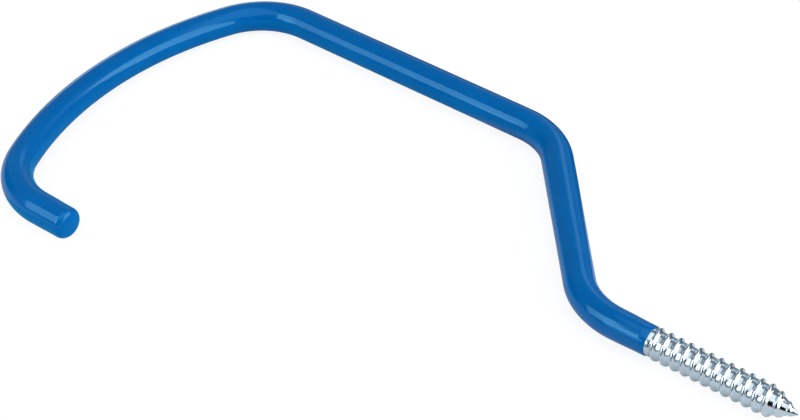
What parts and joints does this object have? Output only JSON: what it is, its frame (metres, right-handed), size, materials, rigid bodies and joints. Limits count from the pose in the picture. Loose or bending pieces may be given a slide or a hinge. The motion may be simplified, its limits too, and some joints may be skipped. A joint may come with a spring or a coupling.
{
  "type": "bicycle storage hook",
  "caption": "Screw-in bicycle storage hook: a bent steel rod with a lag thread, dipped in blue vinyl, with a wide square U that holds a wheel.",
  "frame": {"origin": "on the screw's axis at the dip line, where the coat ends and the bare steel begins", "axes": "+X along the screw towards its point; the hook lies flat in the XY plane with its long arm on +Y; +Z is square to the hook and up as it lies"},
  "size_m": [0.295, 0.1506, 0.0116],
  "materials": {
    "zinc_plated_steel": "bright zinc plated, rolled thread",
    "dipped_vinyl": "glossy blue dipped vinyl"
  },
  "bodies": {
    "root": {"steel_rod": "zinc_plated_steel", "vinyl_coat": "dipped_vinyl"}
  },
  "joints": []
}
